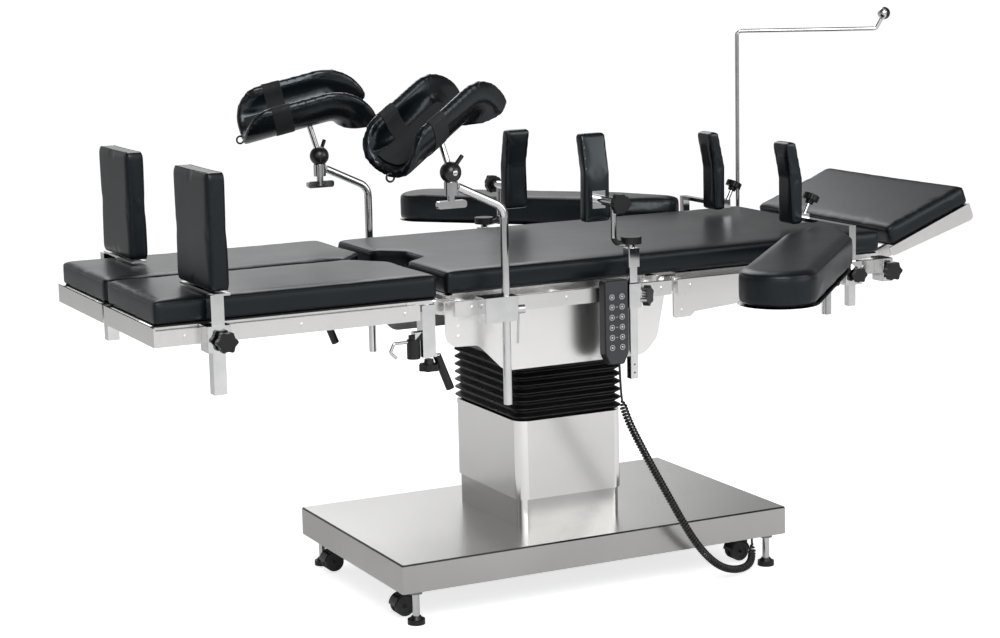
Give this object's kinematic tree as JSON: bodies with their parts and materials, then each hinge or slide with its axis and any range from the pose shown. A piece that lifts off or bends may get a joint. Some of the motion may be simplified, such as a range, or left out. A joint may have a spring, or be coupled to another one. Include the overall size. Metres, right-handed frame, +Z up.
{
  "type": "operating table",
  "caption": "Column operating table with split leg sections, knee rests, foot boards, arm boards, lateral and shoulder supports, screen rod and handset.",
  "frame": {"origin": "on the floor, in the middle of the four feet's bearing plane, under the middle of the base", "axes": "+X from the foot end to the head end, +Y to the patient's right (away from the camera), +Z up; millimetres in the source, metres in the record"},
  "size_m": [1.889, 1.62, 1.116],
  "materials": {
    "stainless": "brushed",
    "chrome": "polished",
    "painted_steel": "satin",
    "grey_enamel": "satin",
    "upholstery": "soft sheen",
    "black_plastic": "matte",
    "bellows_rubber": "matte",
    "cord_sheath": "matte",
    "castor_housing": "gloss",
    "wheel_tread": "matte"
  },
  "bodies": {
    "base": {"base_cover": "stainless", "base_chassis": "painted_steel", "power_unit": "grey_enamel", "mast_outer": "painted_steel", "column_lower_cover": "stainless", "handset_cord": "cord_sheath"},
    "feet": {"brake_feet": "chrome"},
    "lift_stage": {"mast_middle": "painted_steel", "column_upper_cover": "stainless", "bellows": "bellows_rubber"},
    "pedestal": {"tilt_pedestal": "painted_steel"},
    "yoke": {"tilt_yoke": "painted_steel"},
    "seat": {"seat_frame": "stainless", "side_covers": "stainless", "seat_pad": "upholstery", "pad_bend": "upholstery", "seat_clamps": "chrome", "handset": "black_plastic"},
    "back": {"back_frame": "stainless", "back_pad": "upholstery", "back_clamps": "chrome"},
    "head": {"head_frame": "stainless", "head_pad": "upholstery"},
    "screen": {"screen_rod": "chrome"},
    "castor_foot_left": {"castor_fork_foot_left": "castor_housing"},
    "wheel_foot_left": {"castor_wheel_foot_left": "wheel_tread"},
    "castor_foot_right": {"castor_fork_foot_right": "castor_housing"},
    "wheel_foot_right": {"castor_wheel_foot_right": "wheel_tread"},
    "castor_head_left": {"castor_fork_head_left": "castor_housing"},
    "wheel_head_left": {"castor_wheel_head_left": "wheel_tread"},
    "castor_head_right": {"castor_fork_head_right": "castor_housing"},
    "wheel_head_right": {"castor_wheel_head_right": "wheel_tread"},
    "leg_arm_left": {"leg_bracket_left": "chrome"},
    "leg_left": {"leg_frame_left": "stainless", "leg_pad_left": "upholstery", "foot_clamp_left": "chrome"},
    "foot_board_left": {"foot_post_left": "chrome", "foot_pad_left": "upholstery"},
    "holder_left": {"holder_rod_left": "chrome"},
    "knee_rest_left": {"trough_left": "upholstery"},
    "support_post_left": {"lateral_post_left": "chrome"},
    "support_left": {"lateral_arm_left": "chrome", "lateral_pad_left": "upholstery"},
    "shoulder_left": {"shoulder_arm_left": "chrome", "shoulder_pad_left": "upholstery"},
    "arm_rest_left": {"arm_board_left": "upholstery"},
    "leg_arm_right": {"leg_bracket_right": "chrome"},
    "leg_right": {"leg_frame_right": "stainless", "leg_pad_right": "upholstery", "foot_clamp_right": "chrome"},
    "foot_board_right": {"foot_post_right": "chrome", "foot_pad_right": "upholstery"},
    "holder_right": {"holder_rod_right": "chrome"},
    "knee_rest_right": {"trough_right": "upholstery"},
    "support_post_right": {"lateral_post_right": "chrome"},
    "support_right": {"lateral_arm_right": "chrome", "lateral_pad_right": "upholstery"},
    "shoulder_right": {"shoulder_arm_right": "chrome", "shoulder_pad_right": "upholstery"},
    "arm_rest_right": {"arm_board_right": "upholstery"}
  },
  "joints": [
    {"name": "brake_feet_lift", "type": "slide", "parent": "base", "child": "feet", "axis": [0, 0, 1], "range_m": [0, 0.01]},
    {"name": "castor_swivel_foot_left", "type": "hinge", "parent": "base", "child": "castor_foot_left", "pos_m": [-0.38, -0.18, 0.06], "axis": [0, 0, 1], "continuous": true},
    {"name": "castor_roll_foot_left", "type": "hinge", "parent": "castor_foot_left", "child": "wheel_foot_left", "pos_m": [-0.398, -0.18, 0.023], "axis": [0, 1, 0], "continuous": true},
    {"name": "castor_swivel_foot_right", "type": "hinge", "parent": "base", "child": "castor_foot_right", "pos_m": [-0.38, 0.18, 0.06], "axis": [0, 0, 1], "continuous": true},
    {"name": "castor_roll_foot_right", "type": "hinge", "parent": "castor_foot_right", "child": "wheel_foot_right", "pos_m": [-0.398, 0.18, 0.023], "axis": [0, 1, 0], "continuous": true},
    {"name": "castor_swivel_head_left", "type": "hinge", "parent": "base", "child": "castor_head_left", "pos_m": [0.38, -0.18, 0.06], "axis": [0, 0, 1], "continuous": true},
    {"name": "castor_roll_head_left", "type": "hinge", "parent": "castor_head_left", "child": "wheel_head_left", "pos_m": [0.362, -0.18, 0.023], "axis": [0, 1, 0], "continuous": true},
    {"name": "castor_swivel_head_right", "type": "hinge", "parent": "base", "child": "castor_head_right", "pos_m": [0.38, 0.18, 0.06], "axis": [0, 0, 1], "continuous": true},
    {"name": "castor_roll_head_right", "type": "hinge", "parent": "castor_head_right", "child": "wheel_head_right", "pos_m": [0.362, 0.18, 0.023], "axis": [0, 1, 0], "continuous": true},
    {"name": "column_stage_1", "type": "slide", "parent": "base", "child": "lift_stage", "axis": [0, 0, 1], "range_m": [-0.02, 0.12], "deforming": ["handset_cord"]},
    {"name": "column_stage_2", "type": "slide", "parent": "lift_stage", "child": "pedestal", "axis": [0, 0, 1], "range_m": [-0.02, 0.12], "deforming": ["bellows"]},
    {"name": "tilt_lengthways", "type": "hinge", "parent": "pedestal", "child": "yoke", "pos_m": [-0.006, 0, 0.556], "axis": [0, 1, 0], "range_deg": [-20, 20]},
    {"name": "tilt_sideways", "type": "hinge", "parent": "yoke", "child": "seat", "pos_m": [-0.006, 0, 0.556], "axis": [1, 0, 0], "range_deg": [-18, 18]},
    {"name": "back_hinge", "type": "hinge", "parent": "seat", "child": "back", "pos_m": [0.156, 0, 0.612], "axis": [0, -1, 0], "range_deg": [-15, 75], "deforming": ["pad_bend"]},
    {"name": "head_hinge", "type": "hinge", "parent": "back", "child": "head", "pos_m": [0.668, 0, 0.61], "axis": [0, -1, 0], "range_deg": [-111, 19]},
    {"name": "leg_fold_left", "type": "hinge", "parent": "seat", "child": "leg_arm_left", "pos_m": [-0.338, -0.251, 0.612], "axis": [0, -1, 0], "range_deg": [-15, 75]},
    {"name": "leg_spread_left", "type": "hinge", "parent": "leg_arm_left", "child": "leg_left", "pos_m": [-0.378, -0.283, 0.612], "axis": [0, 0, 1], "range_deg": [0, 90]},
    {"name": "foot_board_lift_left", "type": "slide", "parent": "leg_left", "child": "foot_board_left", "axis": [0, 0, 1], "range_m": [0, 0.08]},
    {"name": "holder_swivel_left", "type": "hinge", "parent": "seat", "child": "holder_left", "pos_m": [-0.231, -0.322, 0.6], "axis": [0, 0, 1], "range_deg": [-60, 90]},
    {"name": "knee_rest_tilt_left", "type": "hinge", "parent": "holder_left", "child": "knee_rest_left", "pos_m": [-0.338, -0.322, 0.87], "axis": [0, -1, 0], "range_deg": [-40, 40]},
    {"name": "support_lift_left", "type": "slide", "parent": "seat", "child": "support_post_left", "axis": [0, 0, 1], "range_m": [0, 0.1]},
    {"name": "support_swivel_left", "type": "hinge", "parent": "support_post_left", "child": "support_left", "pos_m": [0.039, -0.322, 0.7], "axis": [0, 0, 1], "range_deg": [-45, 45]},
    {"name": "shoulder_lift_left", "type": "slide", "parent": "back", "child": "shoulder_left", "axis": [0, 0, 1], "range_m": [0, 0.04]},
    {"name": "arm_rest_swivel_left", "type": "hinge", "parent": "back", "child": "arm_rest_left", "pos_m": [0.488, -0.322, 0.6], "axis": [0, 0, 1], "range_deg": [-30, 45]},
    {"name": "leg_fold_right", "type": "hinge", "parent": "seat", "child": "leg_arm_right", "pos_m": [-0.338, 0.251, 0.612], "axis": [0, -1, 0], "range_deg": [-15, 75]},
    {"name": "leg_spread_right", "type": "hinge", "parent": "leg_arm_right", "child": "leg_right", "pos_m": [-0.378, 0.283, 0.612], "axis": [0, 0, -1], "range_deg": [0, 90]},
    {"name": "foot_board_lift_right", "type": "slide", "parent": "leg_right", "child": "foot_board_right", "axis": [0, 0, 1], "range_m": [0, 0.08]},
    {"name": "holder_swivel_right", "type": "hinge", "parent": "seat", "child": "holder_right", "pos_m": [-0.231, 0.322, 0.6], "axis": [0, 0, -1], "range_deg": [-60, 90]},
    {"name": "knee_rest_tilt_right", "type": "hinge", "parent": "holder_right", "child": "knee_rest_right", "pos_m": [-0.338, 0.322, 0.85], "axis": [0, -1, 0], "range_deg": [-40, 40]},
    {"name": "support_lift_right", "type": "slide", "parent": "seat", "child": "support_post_right", "axis": [0, 0, 1], "range_m": [0, 0.1]},
    {"name": "support_swivel_right", "type": "hinge", "parent": "support_post_right", "child": "support_right", "pos_m": [0.039, 0.322, 0.7], "axis": [0, 0, -1], "range_deg": [-45, 45]},
    {"name": "shoulder_lift_right", "type": "slide", "parent": "back", "child": "shoulder_right", "axis": [0, 0, 1], "range_m": [0, 0.04]},
    {"name": "arm_rest_swivel_right", "type": "hinge", "parent": "back", "child": "arm_rest_right", "pos_m": [0.488, 0.322, 0.6], "axis": [0, 0, -1], "range_deg": [-30, 45]},
    {"name": "screen_swivel", "type": "hinge", "parent": "back", "child": "screen", "pos_m": [0.686, 0.322, 0.6], "axis": [0, 0, 1], "range_deg": [-90, 90]}
  ],
  "couplings": [
    {"joint": "column_stage_2", "follows": "column_stage_1", "ratio": 1}
  ]
}
